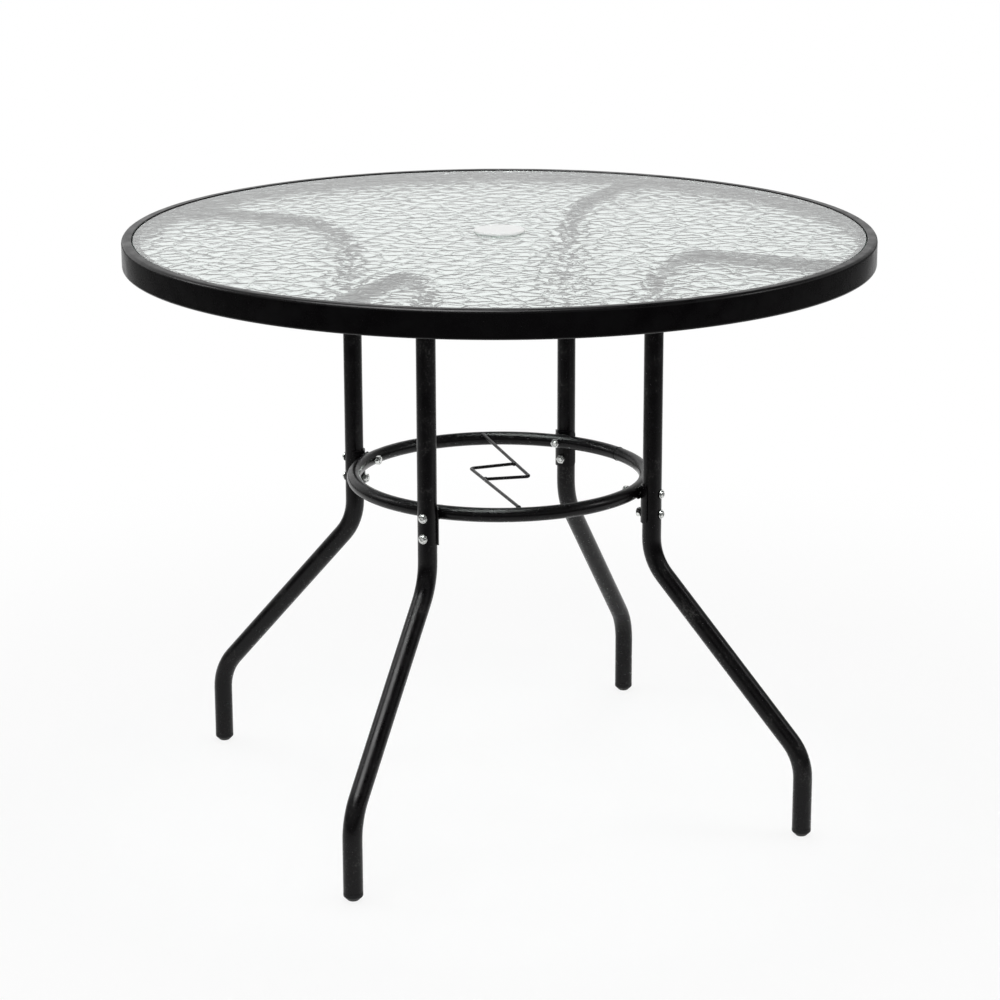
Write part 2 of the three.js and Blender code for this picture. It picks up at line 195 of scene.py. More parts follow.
floor_paint, nodes = new_material("studio_floor")
white_ray, mirrored = ray_kinds(nodes)
place = nodes.add("TexCoord", output="Object")
away = nodes.dot(place, ahead)
lit = nodes.fade(away, floor_front_edge, (floor_dark_level, 1), smooth=True)
aside = nodes.dot(place, rightward)
near = nodes.fade(aside.sum("ABSOLUTE", aside), floor_side_edge, (1, floor_dark_level), smooth=True)
mat = nodes.add("BsdfDiffuse", {}, {"Color": colour(floor_tone, floor_tone, floor_tone)})
glow = nodes.add("Emission", {}, {"Color": plain_white, "Strength": mirrored * (lit * near - 1) + 1})
reach = nodes.add("VectorMath", {"operation": "LENGTH"}, {0: place}, "Value")
share = nodes.fade(reach, floor_glow_edge, floor_glow_levels, smooth=True)
seen = nodes.add("MixShader", {}, {0: white_ray * share, 1: mat, 2: glow})
nodes.add("OutputMaterial", {}, {"Surface": seen})

bm = bmesh.new()
bmesh.ops.create_grid(bm, x_segments=2, y_segments=2, size=floor_reach)
mesh = bpy.data.meshes.new("studio_floor")
bm.to_mesh(mesh)
bm.free()
mesh.materials.append(floor_paint)
floor = bpy.data.objects.new("studio_floor", mesh)
scene.collection.objects.link(floor)


def softbox(name, place, aim, width, height, power, mirrored=True):
    """A rectangular lamp that faces a point, and may be left out of reflections."""
    light = bpy.data.lights.new(name, "AREA")
    light.shape = "RECTANGLE"
    light.size, light.size_y, light.energy = width, height, power
    lamp = bpy.data.objects.new(name, light)
    scene.collection.objects.link(lamp)
    turn = (Vector(aim) - Vector(place)).to_track_quat("-Z", "Y").to_matrix().to_4x4()
    lamp.matrix_world = Matrix.Translation(place) @ turn
    lamp.visible_glossy = mirrored


softbox("softbox_overhead", (-0.1, 0.3, 3.4), (0, 0, 0.5), width=0.7, height=0.7, power=22, mirrored=False)
softbox("softbox_front", (1.6, -3.2, 1.2), (0, 0, 0.5), width=1.2, height=1.2, power=34, mirrored=False)
softbox("softbox_right", (2.9, 0.9, 2.2), (0, 0, 0.4), width=0.45, height=1.0, power=11)
softbox("softbox_left", (-2.9, -0.6, 2.2), (0, 0, 0.4), width=0.45, height=1.0, power=15)

camera = bpy.data.objects.new("camera", bpy.data.cameras.new("camera"))
scene.collection.objects.link(camera)
camera.data.lens, camera.data.sensor_width, camera.data.clip_end = camera_lens, camera_sensor, camera_reach
camera.matrix_world = (
    Matrix.Translation((camera_distance * math.sin(azimuth), -camera_distance * math.cos(azimuth), camera_height))
    @ Matrix.Rotation(azimuth, 4, "Z")
    @ Matrix.Rotation(math.pi / 2 - camera_down, 4, "X")
    @ Matrix.Rotation(camera_roll, 4, "Z")
)
scene.camera = camera

# The rim: a hoop of roll-formed hollow steel section, 33 mm high, with a lip round the glass and a ledge under it.
# Its two ends are butted and welded, the weld is dressed, and the whole is powder coated satin black. Four drain
# holes in its bottom face let out the rain.

rim_radius, rim_top, rim_height = 0.450, 0.708, 0.033
lip_radius, ledge_radius, ledge_top = 0.438, 0.428, 0.7004
rim_bottom = rim_top - rim_height
rim_shoulder_round, rim_foot_round, rim_edge_round, lip_root_round = 0.0045, 0.0025, 0.0012, 0.0004
rim_steps = 256
drain_distance, drain_radius, drain_depth, drain_sides = 0.439, 0.003, 0.004, 16
drain_azimuths = (45, 135, 225, 315)
crease_angle, merge_distance = math.radians(32), 1e-7

peel_scale, peel_depth, peel_strength = 1100, 0.00006, 0.35
mottle_scale, mottle_edge, mottle_dulling = 34, (0.3, 0.7), (-0.05, 0.07)
speck_scale, worn_edge, worn_tone = 420, (1.12, 1.3), colour(92, 91, 90)
dust_from_above, dust_from_mottle, dust_from_specks = 0.6, 0.5, 0.3
dust_edge, dust_cover, dust_dulling = (0.62, 1.25), 0.08, 0.1
dark_cast, light_cast, dust_cast = (-3, -4, -3), (4, 3, 4), (36, 32, 36)
rim_black, rim_roughness = 5, 0.27


def turned(outline, steps, arc_steps=4):
    """Turns an outline about the Z axis. Its corners are (radius, height, rounding), and it may end on the axis."""
    bm = bmesh.new()
    corners = [bm.verts.new((radius, 0, height)) for radius, height, rounding in outline]
    bm.faces.new(corners)
    for corner, (radius, height, rounding) in zip(corners, outline):
        if rounding:
            bmesh.ops.bevel(
                bm, geom=[corner], offset=rounding, offset_type="OFFSET", affect="VERTICES",
                segments=arc_steps, profile=0.5, material=-1,
            )
    bmesh.ops.delete(bm, geom=bm.faces[:], context="FACES_ONLY")
    on_axis = [e for e in bm.edges if all(v.co.x < merge_distance for v in e.verts)]
    bmesh.ops.delete(bm, geom=on_axis, context="EDGES")
    bmesh.ops.spin(
        bm, geom=bm.verts[:] + bm.edges[:], axis=(0, 0, 1), cent=(0, 0, 0),
        angle=2 * math.pi, steps=steps, use_merge=True,
    )
    bmesh.ops.remove_doubles(bm, verts=bm.verts[:], dist=merge_distance)
    bmesh.ops.recalc_face_normals(bm, faces=bm.faces[:])
    return bm


def swing(bm, turn):
    """Turns a mesh about the table's axis."""
    bmesh.ops.rotate(bm, verts=bm.verts[:], cent=(0, 0, 0), matrix=Matrix.Rotation(turn, 3, "Z"))


def verts_in(made):
    """The vertices among what a bmesh operator made."""
    return [v for v in made if isinstance(v, bmesh.types.BMVert)]


def edges_in(made):
    """The edges among what a bmesh operator made."""
    return [e for e in made if isinstance(e, bmesh.types.BMEdge)]


def drawn_out(bm, mouth, way):
    """Draws a wall out of a loop of edges, and gives the loop at its far end."""
    wall = bmesh.ops.extrude_edge_only(bm, edges=mouth)["geom"]
    bmesh.ops.translate(bm, verts=verts_in(wall), vec=way)
    return edges_in(wall)


def piece(name, node, bm, material, turn=0, body="table"):
    """Makes a bmesh a piece of the table that stands for a solid, turned about the table's axis to its place."""
    bm = bm.copy()
    swing(bm, turn)
    for face in bm.faces:
        face.smooth = True
    for edge in bm.edges:
        edge.smooth = edge.calc_face_angle(0) < crease_angle
    mesh = bpy.data.meshes.new(name)
    bm.to_mesh(mesh)
    bm.free()
    mesh.materials.append(material)
    made = bpy.data.objects.new(name, mesh)
    scene.collection.objects.link(made)
    even = made.modifiers.new("even_shading", "WEIGHTED_NORMAL")
    even.keep_sharp = True
    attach(made, body)
    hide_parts(node)
    return made


def powder_coat(name, tone, roughness, scuffs=0.0):
    """Satin black powder coat: a fine orange peel, a mottled gloss, a little dust on what faces up, and scuffs."""
    material, nodes = new_material(name)
    place = nodes.add("TexCoord", output="Object")
    dark, light, dusty = (colour(*(tone + step for step in cast)) for cast in (dark_cast, light_cast, dust_cast))
    peel = nodes.noise(place, peel_scale, detail=2)
    mottle = nodes.noise(place, mottle_scale, detail=5, roughness=0.62)
    specks = nodes.noise(place, speck_scale, detail=3, roughness=0.7)
    facing_up = nodes.add("SeparateXYZ", {}, {0: nodes.add("NewGeometry", output="Normal")}, "Z")
    dusting = facing_up * dust_from_above + mottle * dust_from_mottle + specks * dust_from_specks
    dust = nodes.fade(dusting, dust_edge, (0, 1))
    black = nodes.mix(mottle, dark, light)
    coat = nodes.mix(dust * dust_cover, black, dusty)
    worn = nodes.fade(specks + mottle, worn_edge, (0, scuffs))
    coat = nodes.mix(worn, coat, worn_tone)
    rough = nodes.fade(mottle, mottle_edge, [roughness + change for change in mottle_dulling])
    relief = nodes.bump(peel, peel_depth, peel_strength)
    nodes.surface(
        {"Base Color": coat, "Roughness": rough + dust * dust_dulling, "Specular IOR Level": 0.2, "Normal": relief}
    )
    return material


rim_coat = powder_coat("powder_coat_rim", rim_black, rim_roughness)
bm = turned(
    [
        (ledge_radius, rim_bottom, rim_edge_round),
        (rim_radius, rim_bottom, rim_foot_round),
        (rim_radius, rim_top, rim_shoulder_round),
        (lip_radius, rim_top, rim_edge_round),
        (lip_radius, ledge_top, lip_root_round),
        (ledge_radius, ledge_top, rim_edge_round),
    ],
    rim_steps,
)
swing(bm, math.pi / rim_steps)
# Each drain takes the place of the nearest face of the bottom: a short bore, closed where it is too dark to see in.
for drain_azimuth in drain_azimuths:
    drain = Matrix.Rotation(math.radians(drain_azimuth), 4, "Z") @ Vector((drain_distance, 0, rim_bottom))
    cut = min(bm.faces, key=lambda face: (face.calc_center_median() - drain).length)
    around = cut.edges[:]
    bmesh.ops.delete(bm, geom=[cut], context="FACES_ONLY")
    bmesh.ops.subdivide_edges(bm, edges=around, cuts=drain_sides // len(around) - 1)
    outer = [e for e in bm.edges if e.is_boundary]
    bmesh.ops.create_circle(
        bm, cap_ends=False, segments=drain_sides, radius=drain_radius, matrix=Matrix.Translation(drain)
    )
    hole = [e for e in bm.edges if e.is_wire]
    bmesh.ops.bridge_loops(bm, edges=outer + hole)
    bmesh.ops.contextual_create(bm, geom=drawn_out(bm, hole, (0, 0, drain_depth)))
bmesh.ops.recalc_face_normals(bm, faces=bm.faces[:])
piece("rim_hoop", "rim_frame", bm, rim_coat)

# The seal: a flat ring of black foam rubber, cut from sheet and laid on the rim's ledge. The glass is bedded on it,
# so that it neither rattles nor touches the steel.

seal_inner, seal_outer, seal_bottom, seal_top, seal_round = 0.4298, 0.4368, 0.7007, 0.7017, 0.0002
foam_cell_scale, foam_cell_depth, foam_patch_scale = 1500, 0.0001, 60
foam_dark, foam_light, foam_roughness, foam_roughness_spread = colour(22, 22, 22), colour(38, 38, 37), 0.8, 0.1

seal_rubber, nodes = new_material("seal_rubber")
place = nodes.add("TexCoord", output="Object")
cells = nodes.add("TexVoronoi", {}, {"Vector": place, "Scale": foam_cell_scale}, "Distance")
patches = nodes.noise(place, foam_patch_scale, detail=4)
rubber = nodes.mix(patches, foam_dark, foam_light)
relief = nodes.bump(cells, foam_cell_depth, strength=0.6)
rough = foam_roughness + patches * foam_roughness_spread
nodes.surface({"Base Color": rubber, "Roughness": rough, "Specular IOR Level": 0.2, "Normal": relief})

bm = turned(
    [
        (seal_inner, seal_bottom, seal_round),
        (seal_outer, seal_bottom, seal_round),
        (seal_outer, seal_top, seal_round),
        (seal_inner, seal_top, seal_round),
    ],
    rim_steps, arc_steps=2,
)
piece("glass_seal_strip", "glass_seal", bm, seal_rubber)

# The glass top: 5 mm tempered glass, smooth above and rolled below with a pattern of shallow pebbles, so that what
# is under it shows only as blurred bands. Its edge is ground round, and its hole is drilled before tempering.

glass_radius, glass_bottom, glass_top, hole_radius = 0.4368, 0.702, 0.707, 0.026
edge_grind, hole_grind = 0.0012, 0.0008
edge_ground, hole_ground = edge_grind * 0.6, edge_grind * 0.3
pebble_scale, sway_scale, sway_reach, grain_scale = 41, 38, 0.018, 240
crown_reach, groove_reach = 0.5, 0.08
relief_depth, crown_rise, groove_sink, grain_rise = 0.001, 0.52, 0.04, 0.1
# The colour along the pebbles' edges is painted shade: darker, greener lines that stand in for the dark lines
# refraction draws in the real glass.
clear_tint, groove_painted_shade, ground_tint = colour(238, 245, 242), colour(150, 172, 161), colour(150, 178, 166)
groove_shade_share, glass_roughness, ground_roughening = 0.4, 0.015, 0.3

ripple_glass, nodes = new_material("ripple_glass")
place = nodes.add("TexCoord", output="Object")
sway = nodes.noise(place, sway_scale, detail=2, dimensions="2D", output="Color")
centred = nodes.add("VectorMath", {"operation": "SUBTRACT"}, {0: sway, 1: (0.5, 0.5, 0.5)})
shift = nodes.add("VectorMath", {"operation": "SCALE"}, {0: centred, "Scale": sway_reach})
swayed = nodes.add("VectorMath", {"operation": "ADD"}, {0: place, 1: shift})
pebbles = nodes.add(
    "TexVoronoi", {"voronoi_dimensions": "2D", "feature": "DISTANCE_TO_EDGE"},
    {"Vector": swayed, "Scale": pebble_scale}, "Distance",
)
grain = nodes.noise(swayed, grain_scale, detail=2, dimensions="2D")
groove = nodes.fade(pebbles, (0, groove_reach), (1, 0), smooth=True)
inward = nodes.fade(pebbles, (0, crown_reach), (0, 1))
crown = inward * (2 - inward)
height = nodes.add("SeparateXYZ", {}, {0: place}, "Z")
below = height < (glass_bottom + glass_top) / 2
heights = (crown * crown_rise - groove * groove_sink + grain * grain_rise) * below
relief = nodes.bump(heights, relief_depth, strength=1.0)
flat_place = nodes.add("VectorMath", {"operation": "MULTIPLY"}, {0: place, 1: (1, 1, 0)})
spread = nodes.add("VectorMath", {"operation": "LENGTH"}, {0: flat_place}, "Value")
outside = spread > glass_radius - edge_ground
ground = outside.sum("MAXIMUM", outside, spread < hole_radius + hole_ground)
# Painted shade: the glass is tinted darker and greener along the pebbles' edges, in place of the darkening that
# refraction gives there. The grooves are also a real relief in the bump above.
tint_and_groove_shade = nodes.mix(groove * groove_shade_share, clear_tint, groove_painted_shade)
tint_and_groove_shade = nodes.mix(ground, tint_and_groove_shade, ground_tint)
nodes.surface(
    {
        "Base Color": tint_and_groove_shade, "Roughness": ground * ground_roughening + glass_roughness, "IOR": 1.5,
        "Transmission Weight": 1.0, "Normal": relief,
    }
)

bm = turned(
    [
        (hole_radius, glass_bottom, hole_grind),
        (glass_radius, glass_bottom, edge_grind),
        (glass_radius, glass_top, edge_grind),
        (hole_radius, glass_top, hole_grind),
    ],
    rim_steps,
)
glass_sheet = piece("glass_sheet", "glass_top", bm, ripple_glass)
glass_sheet.visible_shadow = False

# The umbrella hole: a white plastic grommet snapped into the hole of the glass, with a thin flange on top, and a
# round cap plugged into it, whose edge turns down over the flange. The cap lifts out by hand for an umbrella.

grommet_bore, grommet_radius, flange_radius = 0.0241, 0.0257, 0.0287
grommet_bottom, flange_bottom, flange_top = 0.694, 0.7073, 0.7082
cap_radius, cap_bottom, cap_top = 0.031, 0.7085, 0.710
cap_edge_bore, cap_edge_bottom = 0.0292, 0.7073
skirt_bore, skirt_radius, skirt_bottom = 0.0221, 0.0236, 0.6995
root_round, mouth_round, skirt_round, grommet_foot_round, cap_round = 0.0003, 0.0004, 0.0005, 0.0006, 0.0012
cap_steps = 96
mould_grain_scale, mould_grain_depth, mould_cloud_scale = 1500, 0.00005, 70
plastic_dull, plastic_bright = colour(232, 233, 232), colour(241, 242, 241)
plastic_roughness, plastic_roughness_spread, plastic_haze = 0.32, 0.12, 0.002

white_plastic, nodes = new_material("white_plastic")
place = nodes.add("TexCoord", output="Object")
grain = nodes.noise(place, mould_grain_scale, detail=2)
clouds = nodes.noise(place, mould_cloud_scale, detail=4, roughness=0.6)
moulded = nodes.mix(clouds, plastic_dull, plastic_bright)
relief = nodes.bump(grain, mould_grain_depth, strength=0.25)
rough = clouds * plastic_roughness_spread + plastic_roughness
nodes.surface(
    {
        "Base Color": moulded, "Roughness": rough, "Specular IOR Level": 0.45, "Subsurface Weight": 0.05,
        "Subsurface Radius": (plastic_haze, plastic_haze, plastic_haze), "Normal": relief,
    }
)

bm = turned(
    [
        (grommet_bore, grommet_bottom, mouth_round),
        (grommet_radius, grommet_bottom, grommet_foot_round),
        (grommet_radius, flange_bottom, root_round),
        (flange_radius, flange_bottom, root_round),
        (flange_radius, flange_top, mouth_round),
        (grommet_bore, flange_top, mouth_round),
    ],
    cap_steps, arc_steps=3,
)
piece("grommet_ring", "umbrella_hole_grommet", bm, white_plastic)

bm = turned(
    [
        (0, cap_bottom, 0),
        (skirt_bore, cap_bottom, root_round),
        (skirt_bore, skirt_bottom, mouth_round),
        (skirt_radius, skirt_bottom, skirt_round),
        (skirt_radius, cap_bottom, root_round),
        (cap_edge_bore, cap_bottom, root_round),
        (cap_edge_bore, cap_edge_bottom, root_round),
        (cap_radius, cap_edge_bottom, skirt_round),
        (cap_radius, cap_top, cap_round),
        (0, cap_top, 0),
    ],
    cap_steps,
)
piece("hole_cap_disc", "umbrella_hole_cap", bm, white_plastic, body="hole_cap")

# The legs: one steel tube each, 23 mm across, bent three times on a mandrel. The upper run lies under the glass and
# ends at the rim, the upright drops beside the brace ring, and the splay runs out to a short vertical foot.

places = {"front": -math.pi / 2, "right": 0, "back": math.pi / 2, "left": math.pi}
leg_radius, leg_wall, leg_bend, leg_sides = 0.0115, 0.0012, 0.070, 28
upright_x, foot_x, run_end_x = 0.201, 0.400, 0.42488
run_z, high_knee_z, low_knee_z, tube_end_z = 0.690, 0.324, 0.0985, 0.0103
leg_black, leg_roughness, leg_scuffs = 5, 0.27, 0.25


def bent_tube(corners, bend, radius, sides, step_angle=math.radians(5)):
    """An open tube along a line of corners: a circle that is pushed down the straights and spun round the bends."""
    points = [Vector(corner) for corner in corners]
    heading = (points[1] - points[0]).normalized()
    bm = bmesh.new()
    across = Matrix.Translation(points[0]) @ heading.to_track_quat("Z", "Y").to_matrix().to_4x4()
    bmesh.ops.create_circle(bm, cap_ends=False, segments=sides, radius=radius, matrix=across)
    mouth, here = bm.edges[:], points[0]
    for i, corner in enumerate(points[1:], 1):
        last = i == len(points) - 1
        ahead = heading if last else (points[i + 1] - corner).normalized()
        angle = heading.angle(ahead)
        reach = corner - heading * (0 if last else bend * math.tan(angle / 2))
        mouth = drawn_out(bm, mouth, reach - here)
        if last:
            break
        axis = heading.cross(ahead).normalized()
        mouth = edges_in(bmesh.ops.spin(
            bm, geom=mouth + list(dict.fromkeys(v for e in mouth for v in e.verts)), axis=axis,
            cent=reach + axis.cross(heading) * bend, angle=angle,
            steps=max(2, round(angle / step_angle)), use_merge=False,
        )["geom_last"])
        here, heading = corner + ahead * bend * math.tan(angle / 2), ahead
    bmesh.ops.remove_doubles(bm, verts=bm.verts[:], dist=merge_distance)
    bmesh.ops.recalc_face_normals(bm, faces=bm.faces[:])
    return bm


leg_coat = powder_coat("powder_coat_legs", leg_black, leg_roughness, leg_scuffs)
bm = bent_tube(
    [
        (run_end_x, 0, run_z),
        (upright_x, 0, run_z),
        (upright_x, 0, high_knee_z),
        (foot_x, 0, low_knee_z),
        (foot_x, 0, tube_end_z),
    ],
    leg_bend, leg_radius, leg_sides,
)
for place, turn in places.items():
    made = piece(f"leg_tube_{place}", f"leg_{place}", bm, leg_coat, turn)
    wall = made.modifiers.new("wall", "SOLIDIFY")
    wall.thickness, wall.offset, wall.use_even_offset = leg_wall, -1, True
    made.modifiers.move(1, 0)

# The foot caps: black plastic ferrules with a chamfered end, pushed into the tubes. The floor scuffs their ends.
# Their plugs reach 16 mm up into the legs.

ferrule_height, ferrule_chamfer, plug_radius, plug_top = 0.010, 0.0053, 0.010, 0.026
ferrule_end_round, ferrule_side_round, ferrule_rim_round = 0.0006, 0.0008, 0.0003
plug_root_round, plug_tip_round = 0.0002, 0.001
ferrule_steps = 48
ferrule_grain_scale, ferrule_grain_depth, scratch_scale = 1300, 0.0001, 500
scuff_height, scuff_pull, scuff_edge, scuff_cover = 0.005, 0.35, (0.62, 0.95), 0.7
ferrule_black, scuff_grey, ferrule_roughness, scuff_roughening = colour(17, 17, 18), colour(78, 77, 74), 0.5, 0.3

foot_plastic, nodes = new_material("foot_plastic")
place = nodes.add("TexCoord", output="Object")
grain = nodes.noise(place, ferrule_grain_scale, detail=3)
scratches = nodes.noise(place, scratch_scale, detail=4, roughness=0.7)
height = nodes.add("SeparateXYZ", {}, {0: place}, "Z")
low = nodes.fade(height, (0, scuff_height), (1, 0))
scuffed = nodes.fade(scratches + low * scuff_pull, scuff_edge, (0, scuff_cover))
plastic = nodes.mix(scuffed, ferrule_black, scuff_grey)
relief = nodes.bump(grain, ferrule_grain_depth, strength=0.5)
rough = ferrule_roughness + scuffed * scuff_roughening
nodes.surface({"Base Color": plastic, "Roughness": rough, "Specular IOR Level": 0.2, "Normal": relief})

bm = turned(
    [
        (0, 0, 0),
        (leg_radius - ferrule_chamfer, 0, ferrule_end_round),
        (leg_radius, ferrule_chamfer, ferrule_side_round),
        (leg_radius, ferrule_height, ferrule_rim_round),
        (plug_radius, ferrule_height, plug_root_round),
        (plug_radius, plug_top, plug_tip_round),
        (0, plug_top, 0),
    ],
    ferrule_steps, arc_steps=3,
)
bmesh.ops.translate(bm, verts=bm.verts[:], vec=(foot_x, 0, 0))
for place, turn in places.items():
    piece(f"foot_ferrule_{place}", f"foot_cap_{place}", bm, foot_plastic, turn)

# The brace ring: a hoop of 17 mm tube, butt welded where its ends meet, with the weld left slightly proud. It
# stands inside the four legs and holds them apart. A bead of weld above and below holds each saddle to it.

ring_radius, ring_tube_radius, ring_z = 0.1786, 0.0085, 0.405
ring_sides, ring_steps, ring_merge_distance = 24, 142, 1e-6
ring_weld_turn, ring_weld_width, ring_weld_rise, ring_weld_steps = math.radians(58), 0.0026, 0.0006, 2
bead_distance, bead_height, bead_half_length, bead_radius = 0.1861, 0.0058, 0.0075, 0.0016
bead_blobs, blob_swell = 9, 1.12
ring_black, ring_roughness = 6, 0.25


def weld_bead(bm, start, end, radius, blobs):
    """A short bead of weld from one point to another: a row of blobs that run into each other, every other bigger."""
    for i in range(blobs):
        centre = Vector(start).lerp(Vector(end), i / (blobs - 1))
        bmesh.ops.create_icosphere(
            bm, subdivisions=2, radius=radius * (blob_swell if i % 2 else 1), matrix=Matrix.Translation(centre)
        )


ring_coat = powder_coat("powder_coat_ring", ring_black, ring_roughness)
bm = bmesh.new()
stand = Matrix.Translation((ring_radius, 0, 0)) @ Matrix.Rotation(math.pi / 2, 4, "X")
bmesh.ops.create_circle(bm, cap_ends=False, segments=ring_sides, radius=ring_tube_radius, matrix=stand)
mouth = bm.verts[:] + bm.edges[:]
half_weld = ring_weld_width / ring_radius / 2
loops = []
for sweep, steps in (
    (half_weld, ring_weld_steps), (half_weld, ring_weld_steps), (2 * math.pi - 2 * half_weld, ring_steps)
):
    mouth = bmesh.ops.spin(
        bm, geom=mouth, axis=(0, 0, 1), cent=(0, 0, 0), angle=sweep, steps=steps, use_merge=False
    )["geom_last"]
    loops.append(verts_in(mouth))
crest = loops[0]
middle = sum((v.co for v in crest), Vector()) / len(crest)
swell = 1 + ring_weld_rise / ring_tube_radius
bmesh.ops.scale(bm, verts=crest, vec=(swell, swell, swell), space=Matrix.Translation(-middle))
bmesh.ops.remove_doubles(bm, verts=bm.verts[:], dist=ring_merge_distance)
bmesh.ops.recalc_face_normals(bm, faces=bm.faces[:])
swing(bm, ring_weld_turn)
for turn in places.values():
    for side in (-1, 1):
        ends = [
            Matrix.Rotation(turn, 4, "Z") @ Vector((bead_distance, y, side * bead_height))
            for y in (-bead_half_length, bead_half_length)
        ]
        weld_bead(bm, *ends, bead_radius, bead_blobs)
bmesh.ops.translate(bm, verts=bm.verts[:], vec=(0, 0, ring_z))
piece("brace_hoop", "brace_ring", bm, ring_coat)

# The saddles: plates of 1.8 mm steel with round corners, rolled to lie round the inner side of each leg, and welded
# to the brace ring above and below where the two touch.

saddle_inner, saddle_thickness, saddle_half_wrap = 0.0118, 0.0018, math.radians(85)
saddle_bottom, saddle_top = 0.3695, 0.4155
saddle_corner, saddle_corner_steps, saddle_soft_edge = 0.005, 6, 0.0005
wrap_cuts = 24

half_arc = saddle_half_wrap * saddle_inner
bm = bmesh.new()
outline = [
    bm.verts.new((0, y, z))
    for y, z in (
        (-half_arc, saddle_bottom), (half_arc, saddle_bottom), (half_arc, saddle_top), (-half_arc, saddle_top)
    )
]
bm.faces.new(outline)
bmesh.ops.bevel(
    bm, geom=outline, offset=saddle_corner, offset_type="OFFSET", affect="VERTICES",
    segments=saddle_corner_steps, profile=0.5, material=-1,
)
for i in range(1, wrap_cuts):
    y = half_arc * (2 * i / wrap_cuts - 1)
    bmesh.ops.bisect_plane(bm, geom=bm.verts[:] + bm.edges[:] + bm.faces[:], plane_co=(0, y, 0), plane_no=(0, 1, 0))
for v in bm.verts:
    angle = math.pi - v.co.y / saddle_inner
    v.co = (upright_x + saddle_inner * math.cos(angle), saddle_inner * math.sin(angle), v.co.z)
bmesh.ops.recalc_face_normals(bm, faces=bm.faces[:])
if sum(face.normal.x for face in bm.faces) > 0:
    bmesh.ops.reverse_faces(bm, faces=bm.faces[:])
for place, turn in places.items():
    made = piece(f"saddle_plate_{place}", f"brace_saddle_{place}", bm, ring_coat, turn)
    wall = made.modifiers.new("wall", "SOLIDIFY")
    wall.thickness, wall.offset = saddle_thickness, 1
    soft = made.modifiers.new("soft_edges", "BEVEL")
    soft.width, soft.segments, soft.limit_method = saddle_soft_edge, 3, "ANGLE"
    made.modifiers.move(0, 2)

# The pole guide: two bent wires, welded to the top of the brace ring and to each other where they meet, leave a
# square for the umbrella pole.

wire_radius, wire_bend, wire_sides, wire_step_angle = 0.002, 0.005, 16, math.radians(10)
guide_half, guide_rise, wire_end_rise = 0.029, 0.003, 0.0074
guide_turn = math.radians(42)
fit_gap = 0.0003
seat_bead_reach, seat_bead_over, seat_bead_radius = 0.001, 0.0008, 0.0026
joint_bead_start, joint_bead_end, joint_bead_reach, joint_bead_radius = 0.0021, 0.0016, 0.0008, 0.0027
wire_bead_blobs = 3
wire_black, wire_roughness = 8, 0.25

seat_reach = math.sqrt((ring_tube_radius + fit_gap) ** 2 - (wire_end_rise - wire_radius) ** 2)
end_distance = ring_radius - seat_reach - fit_gap
end_y = math.sqrt(end_distance**2 - (guide_half + wire_radius) ** 2)
meeting = (end_y - guide_half) / (end_y + guide_half)
meeting_rise = wire_end_rise + (guide_rise - wire_end_rise) * meeting

wire_coat = powder_coat("powder_coat_wires", wire_black, wire_roughness)
bm = bent_tube(
    [
        (guide_half, end_y, ring_z + wire_end_rise),
        (guide_half, -guide_half, ring_z + guide_rise),
        (wire_radius - guide_half, -guide_half, ring_z + meeting_rise),
    ],
    wire_bend, wire_radius, wire_sides, wire_step_angle,
)
bmesh.ops.holes_fill(bm, edges=bm.edges[:], sides=wire_sides)
seat_bead_z = ring_z + wire_end_rise - seat_bead_reach
weld_bead(
    bm, (guide_half - seat_bead_reach, end_y - seat_bead_reach, seat_bead_z),
    (guide_half + seat_bead_reach, end_y + seat_bead_over, seat_bead_z), seat_bead_radius, wire_bead_blobs,
)
weld_bead(
    bm, (joint_bead_start - guide_half, -guide_half - joint_bead_reach, ring_z + meeting_rise),
    (joint_bead_end - guide_half, -guide_half + joint_bead_reach, ring_z + meeting_rise),
    joint_bead_radius, wire_bead_blobs,
)
for place, turn in (("back", guide_turn), ("front", guide_turn + math.pi)):
    piece(f"guide_wire_{place}", f"pole_guide_wire_{place}", bm, wire_coat, turn)

# The bolts, washers and nuts: bright zinc plated steel. Two bolts with low round heads go through each leg: the
# upper one through the brace ring too, the lower one through the saddle alone. Their ends stand out of the nuts.

bolt_radius, shank_tip, socket_width, socket_depth = 0.003, 0.0008, 0.004, 0.0012
head_radius, head_height, head_flat_radius, head_foot_radius = 0.0045, 0.002, 0.0029, 0.0043
head_dome = ((0.0036, 0.0018), (0.0042, 0.0013), (head_radius, 0.0006), (head_radius, 0.0002))
washer_radius, washer_thickness, washer_steps = 0.0058, 0.001, 36
washer_hole_round, washer_back_round, washer_front_round, washer_bore_round = 0.0001, 0.0002, 0.0003, 0.0002
bolt_hole, nut_width, nut_height, bolt_end_reach = 0.0034, 0.010, 0.005, 0.001
nut_face_radius, nut_chamfer_slope, countersink = 0.0047, 0.55, 0.0004
bolt_sides, hexagon_sides = 24, 6
washer_seat, head_seat = 0.2128, 0.2141
bolt_heights = {"upper": ring_z, "lower": 0.380}
nut_seats = {"upper": 0.1693, "lower": 0.1871}
plate_cloud_scale, plate_line_scale, plate_line_depth = 260, 1600, 0.00004
plate_dark, plate_light = colour(196, 198, 197), colour(226, 227, 224)
plate_roughness, plate_roughness_spread = 0.07, 0.14

zinc, nodes = new_material("zinc_plate")
place = nodes.add("TexCoord", output="Object")
cloud = nodes.noise(place, plate_cloud_scale, detail=4, roughness=0.6)
lines = nodes.noise(place, plate_line_scale, detail=2)
plate_tone = nodes.mix(cloud, plate_dark, plate_light)
relief = nodes.bump(lines, plate_line_depth, strength=0.2)
rough = cloud * plate_roughness_spread + plate_roughness
nodes.surface({"Base Color": plate_tone, "Metallic": 1.0, "Roughness": rough, "Normal": relief})


def circle(bm, sides, radius, height=0):
    """A circle of edges round the Z axis, at a height."""
    verts = bmesh.ops.create_circle(
        bm, cap_ends=False, segments=sides, radius=radius, matrix=Matrix.Translation((0, 0, height))
    )["verts"]
    return list(dict.fromkeys(e for v in verts for e in v.link_edges))


